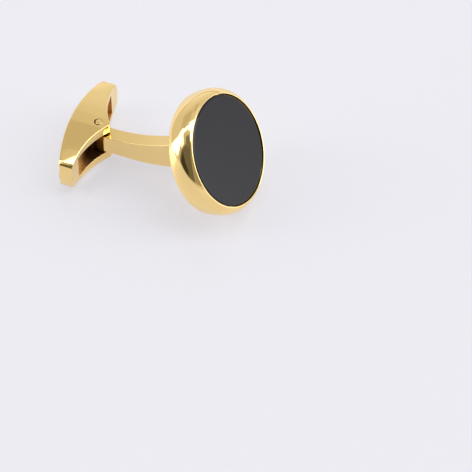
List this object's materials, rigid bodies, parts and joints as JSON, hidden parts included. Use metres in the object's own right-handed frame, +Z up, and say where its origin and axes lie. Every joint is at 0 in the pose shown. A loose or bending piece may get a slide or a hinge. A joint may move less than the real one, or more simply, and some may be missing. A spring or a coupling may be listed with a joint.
{
  "type": "cufflink",
  "caption": "Round cufflink with a black disc set in a rounded gold ring, on a curved post with a slotted bar that swivels to hold the cuff shut.",
  "frame": {"origin": "middle of the part's outline seen from above, on the surface that it lies on", "axes": "+X from the bar to the head, Y along the bar, +Z up along the pivot"},
  "size_m": [0.0258, 0.0164, 0.015],
  "materials": {
    "gold": "polished yellow gold plate",
    "onyx": "mirror-polished black"
  },
  "bodies": {
    "head": {"setting": "gold", "stone": "onyx"},
    "bar": {"toggle": "gold", "pivot_pin": "gold"}
  },
  "joints": [
    {"name": "toggle_swivel", "type": "hinge", "parent": "head", "child": "bar", "pos_m": [-0.00918, 0, 0.00325], "axis": [0, 0, 1], "range_deg": [-85, 85]}
  ]
}
